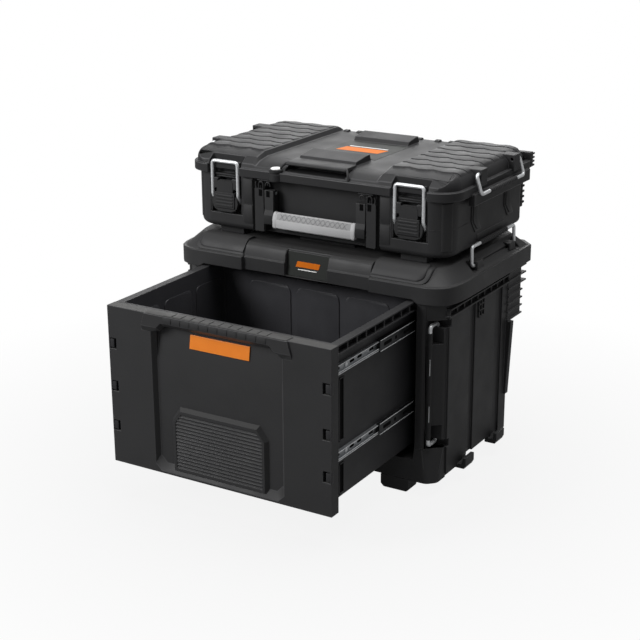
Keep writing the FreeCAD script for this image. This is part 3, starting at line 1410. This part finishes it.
def lid_dome():
    """The lid's top: a pad on each side of a lower middle, a long slope in front and rounded edges."""
    inner = "pad_inner + pad_slope"
    pieces = [prism("dome_middle", "yz", dome_outline(DOME_TOP), f"-({inner})", inner)]
    for side_name, side in SIDES:
        pieces.append(tapered(f"dome_pad_{side_name}", "yz", [
            (dome_outline(DOME_TOP), f"{side} * pad_inner"),
            (dome_outline(PAD_TOP), f"{side} * ({inner})"),
            (dome_outline(PAD_TOP), f"{side} * {LID_HALF}"),
        ]))
    bounds = rounded_block("dome_bounds", f"({LID_HALF} - lid_ledge)", f"({LID_FRONT} - lid_ledge)",
                           f"({LID_REAR} - lid_ledge)", f"({LID_SHOULDER} - rib)", PAD_TOP,
                           "lid_round - lid_ledge", "lid_round - lid_ledge")
    ease(bounds, "Fillet", flat_at(lambda: At.pad_top), Radius="dome_round")
    return meet("lid_dome", join("dome_profile", *pieces), bounds)


def lid_room(name, front, top):
    """A space under the lid, from behind its front up to a level."""
    return rounded_block(name, f"({LID_HALF} - lid_inner)", f"({LID_FRONT} - {front})",
                         f"({LID_REAR} - lid_inner)",
                         f"({LID_BASE} - overrun)", top, "tub_inner_round", "tub_back_round")


def make_lid():
    skirt = rounded_block("lid_skirt", LID_HALF, LID_FRONT, LID_REAR, LID_BASE, LID_SHOULDER,
                          "lid_round", "tub_back_round")
    valve_x, valve_y = "-valve_x", f"(valve_set - {LID_FRONT})"
    boss = rod("valve_boss", "z", "valve_boss", (valve_x, valve_y, LID_BASE), "lid_skirt")
    scoop = rod("valve_scoop", "z", "valve_boss", (valve_x, valve_y, LID_SHOULDER), "dome_rise + overrun")
    rooms = [
        lid_room("lid_rim_room", "lid_inner_front", f"({LID_SHOULDER} - lid_roof_drop)"),
        lid_room("lid_roof_room", "lid_roof_front", f"({DOME_TOP} - lid_top_wall)"),
    ]
    pocket = block("lid_hand_pocket", ("-pocket_half", "pocket_half"),
                   (f"-{LID_FRONT} - overrun", f"lid_ledge + pocket_deep - {LID_FRONT}"),
                   (f"{LID_SHOULDER} + pocket_floor", f"{DOME_TOP} - pocket_roof"))
    cuts = [*rooms, scoop, pocket]
    pieces = []
    bores = []
    for side_name, side in SIDES:
        pieces += lid_side(side_name, side)
        cuts += lid_side_cuts(side_name, side)
        bores += lid_side_bores(side_name, side)
    front_cleat = f"(cleat_front - {TUB_FRONT})"
    rear_cleat = f"({TUB_REAR} - cleat_rear - cleat_rear_long)"
    pieces.append(cleat("lid_cleat_front", DOME_TOP, front_cleat, "cleat_long"))
    pieces.append(cleat("lid_cleat_rear", DOME_TOP, rear_cleat, "cleat_rear_long"))
    label_y = (f"{front_cleat} + cleat_long + rib", f"{rear_cleat} - rib")
    label_x = ("-label_half", "label_half")
    bores.append(block("label_pocket", label_x, label_y,
                       (f"{DOME_TOP} - label_thick + label_proud", f"{DOME_TOP} + overrun")))
    shell = carve("lid_shell", join("lid_block", skirt, lid_dome(), boss), *cuts)
    node(carve("case_lid", join("lid_solid", shell, *pieces), *bores))
    node(block("lid_label", label_x, label_y,
               (f"{DOME_TOP} - label_thick + label_proud", f"{DOME_TOP} + label_proud")))
    node(rod("valve_body", "z", "valve_radius", (valve_x, valve_y, LID_SHOULDER), "valve_height"))
    node(rod("valve_cap", "z", "valve_cap_radius",
             (valve_x, valve_y, f"{LID_SHOULDER} + valve_height + seat_gap"), "valve_cap_height"))


def main():
    make_housing()
    make_feet()
    make_cover()
    make_drawer_front()
    make_bin()
    make_slides()
    make_slide_screws()
    make_bails()
    make_tub()
    make_case_feet()
    make_gasket()
    make_handle()
    for side_name, side in SIDES:
        make_latch(side_name, side)
    make_hinge_pins()
    make_lid()
    doc.recompute()
    for item in doc.Objects:
        if "Invalid" in item.State or "Error" in item.State:
            raise RuntimeError(f"{item.Name} failed: {item.State}")
    for piece in nodes:
        if piece.Shape.isNull() or not piece.Shape.isValid() or not piece.Shape.Solids:
            raise RuntimeError(f"{piece.Label} has no valid solid")
    os.makedirs("parts", exist_ok=True)
    for piece in nodes:
        piece.Shape.exportStep(f"parts/{piece.Label}.step")
        print(f"{piece.Label}: {len(piece.Shape.Solids)} solid(s), {piece.Shape.Volume:.0f} mm3")


main()
